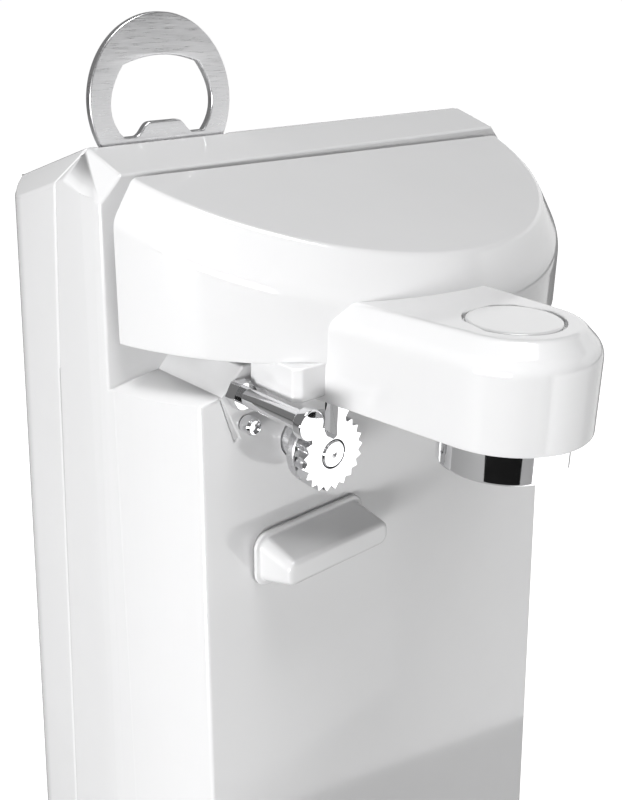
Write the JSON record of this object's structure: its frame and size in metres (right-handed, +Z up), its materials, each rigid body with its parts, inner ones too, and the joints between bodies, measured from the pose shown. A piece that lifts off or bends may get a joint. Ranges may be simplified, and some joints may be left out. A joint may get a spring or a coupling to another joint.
{
  "type": "electric can opener",
  "caption": "Tall countertop electric can opener with a toothed drive wheel, lifting knife and magnet lever, can guide and bottle opener plate.",
  "frame": {"origin": "on the table under the middle of the whole object's box, feet standing on Z = 0", "axes": "+Z up; the front panel, with its drive wheel and lever, faces -Y; the object's right side, seen by its user, is +X"},
  "size_m": [0.1566, 0.157, 0.2862],
  "materials": {
    "white_plastic": "gloss moulded",
    "polished_steel": "polished nickel plate",
    "brushed_steel": "satin stainless",
    "dark_steel": "oxidised lamination and spring steel",
    "zinc_plate": "zinc plated steel",
    "nylon": "natural nylon",
    "copper": "lacquered winding",
    "black_plastic": "matte moulded",
    "rubber": "matte rubber",
    "magnet": "sintered ferrite"
  },
  "bodies": {
    "housing": {"front_housing": "white_plastic", "rear_cover": "white_plastic", "base_plate": "white_plastic", "foot_front_left": "rubber", "foot_front_right": "rubber", "foot_rear_left": "rubber", "foot_rear_right": "rubber", "cover_screw_1": "zinc_plate", "cover_screw_2": "zinc_plate", "cover_screw_3": "zinc_plate", "cover_screw_4": "zinc_plate", "bottle_opener": "brushed_steel", "pivot_pin": "zinc_plate", "pivot_clip": "dark_steel", "locating_post": "polished_steel", "locating_pin": "polished_steel", "can_guide": "white_plastic", "shaft_bushing": "brushed_steel", "middle_axle": "zinc_plate", "first_axle": "zinc_plate", "gear_plate_front": "zinc_plate", "gear_plate_rear": "zinc_plate", "plate_spacer_1": "zinc_plate", "plate_spacer_2": "zinc_plate", "plate_spacer_3": "zinc_plate", "plate_screw_1": "zinc_plate", "plate_screw_2": "zinc_plate", "plate_screw_3": "zinc_plate", "motor_core": "dark_steel", "motor_coil": "copper", "motor_bracket": "zinc_plate", "motor_bolt_1": "zinc_plate", "motor_bolt_2": "zinc_plate", "switch_body": "black_plastic", "cord_inlet": "rubber"},
    "lever": {"lever_shell": "white_plastic", "lever_cover": "white_plastic", "arm_cover": "white_plastic", "magnet_cap": "white_plastic", "knife": "polished_steel", "knife_screw": "zinc_plate"},
    "magnet_holder": {"magnet_cup": "polished_steel", "magnet": "magnet"},
    "wheel": {"drive_wheel": "polished_steel", "drive_shaft": "polished_steel", "shaft_clip": "dark_steel", "output_gear": "nylon"},
    "middle_gear": {"middle_gear": "nylon"},
    "first_gear": {"first_gear": "nylon"},
    "rotor": {"motor_rotor": "brushed_steel", "motor_pinion": "dark_steel"},
    "switch_plunger": {"switch_plunger": "black_plastic"}
  },
  "joints": [
    {"name": "rotor_spin", "type": "hinge", "parent": "housing", "child": "rotor", "pos_m": [0.0099, 0.03475, 0.14091], "axis": [0, 1, 0], "continuous": true},
    {"name": "first_gear_spin", "type": "hinge", "parent": "housing", "child": "first_gear", "pos_m": [-0.00423, 0.01475, 0.16538], "axis": [0, 1, 0], "continuous": true},
    {"name": "middle_gear_spin", "type": "hinge", "parent": "housing", "child": "middle_gear", "pos_m": [-0.02608, 0.00675, 0.17333], "axis": [0, 1, 0], "continuous": true},
    {"name": "wheel_spin", "type": "hinge", "parent": "housing", "child": "wheel", "pos_m": [-0.0357, -0.00525, 0.19], "axis": [0, 1, 0], "continuous": true},
    {"name": "lever_lift", "type": "hinge", "parent": "housing", "child": "lever", "pos_m": [-0.056, 0.00675, 0.226], "axis": [0, -1, 0], "range_deg": [0, 15]},
    {"name": "magnet_float", "type": "slide", "parent": "lever", "child": "magnet_holder", "axis": [0.014, 0, 0.9999], "range_m": [0, 0.0025]},
    {"name": "switch_press", "type": "slide", "parent": "housing", "child": "switch_plunger", "axis": [0, 0, -1], "range_m": [0, 0.0016], "stiffness_N_per_m": 300}
  ],
  "couplings": [
    {"joint": "first_gear_spin", "follows": "rotor_spin", "ratio": -0.21739},
    {"joint": "middle_gear_spin", "follows": "rotor_spin", "ratio": 0.060386},
    {"joint": "wheel_spin", "follows": "rotor_spin", "ratio": -0.021567}
  ]
}
